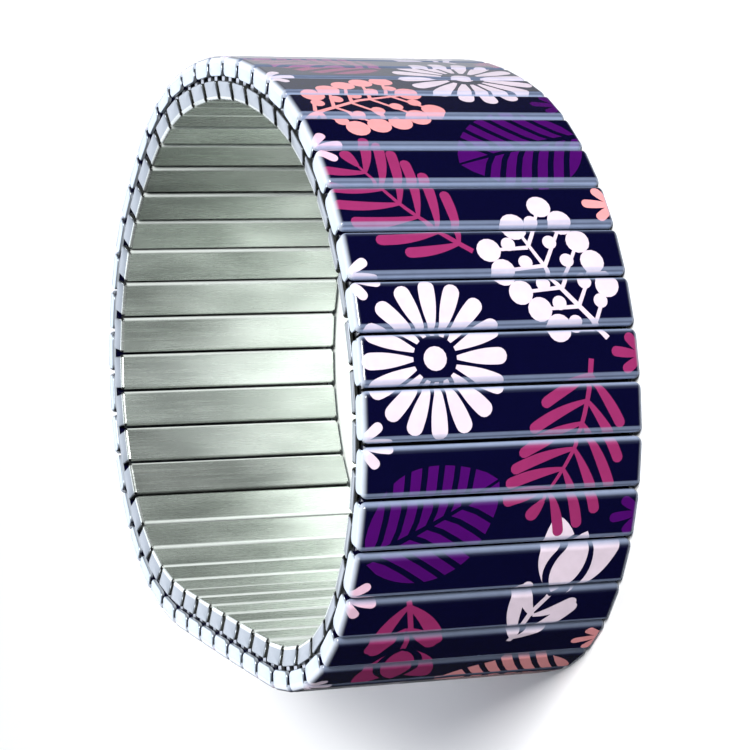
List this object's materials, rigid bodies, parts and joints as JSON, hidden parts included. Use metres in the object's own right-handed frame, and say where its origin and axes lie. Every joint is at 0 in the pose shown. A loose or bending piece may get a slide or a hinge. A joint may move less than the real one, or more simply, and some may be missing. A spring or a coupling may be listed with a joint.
{
  "type": "stretch bracelet",
  "caption": "Wide expansion bracelet: an oval band of narrow hollow steel links, glossy printed outer row over a brushed inner row, joined by small spring clips along the rims.",
  "frame": {"origin": "middle of the band's bounding box, on the surface it rests on (Z = 0 is the rim it lies on)", "axes": "+Z runs across the band from the rim it lies on to the upper rim; the oval of the wrist lies in X and Y, long way along Y; +X is the side that the picture shows at its top, -X the flattened side"},
  "size_m": [0.0498, 0.0688, 0.022],
  "materials": {
    "printed_face": "gloss",
    "brushed_link": "satin",
    "bright_clip": "bright"
  },
  "bodies": {
    "root": {"outer_link_01": "printed_face", "outer_link_02": "printed_face", "outer_link_03": "printed_face", "outer_link_04": "printed_face", "outer_link_05": "printed_face", "outer_link_06": "printed_face", "outer_link_07": "printed_face", "outer_link_08": "printed_face", "outer_link_09": "printed_face", "outer_link_10": "printed_face", "outer_link_11": "printed_face", "outer_link_12": "printed_face", "outer_link_13": "printed_face", "outer_link_14": "printed_face", "outer_link_15": "printed_face", "outer_link_16": "printed_face", "outer_link_17": "printed_face", "outer_link_18": "printed_face", "outer_link_19": "printed_face", "outer_link_20": "printed_face", "outer_link_21": "printed_face", "outer_link_22": "printed_face", "outer_link_23": "printed_face", "outer_link_24": "printed_face", "outer_link_25": "printed_face", "outer_link_26": "printed_face", "outer_link_27": "printed_face", "outer_link_28": "printed_face", "outer_link_29": "printed_face", "outer_link_30": "printed_face", "outer_link_31": "printed_face", "outer_link_32": "printed_face", "outer_link_33": "printed_face", "outer_link_34": "printed_face", "outer_link_35": "printed_face", "outer_link_36": "printed_face", "outer_link_37": "printed_face", "outer_link_38": "printed_face", "outer_link_39": "printed_face", "outer_link_40": "printed_face", "outer_link_41": "printed_face", "outer_link_42": "printed_face", "outer_link_43": "printed_face", "outer_link_44": "printed_face", "outer_link_45": "printed_face", "outer_link_46": "printed_face", "outer_link_47": "printed_face", "outer_link_48": "printed_face", "inner_links": "brushed_link", "near_rim_clips": "bright_clip", "far_rim_clips": "bright_clip"}
  },
  "joints": []
}
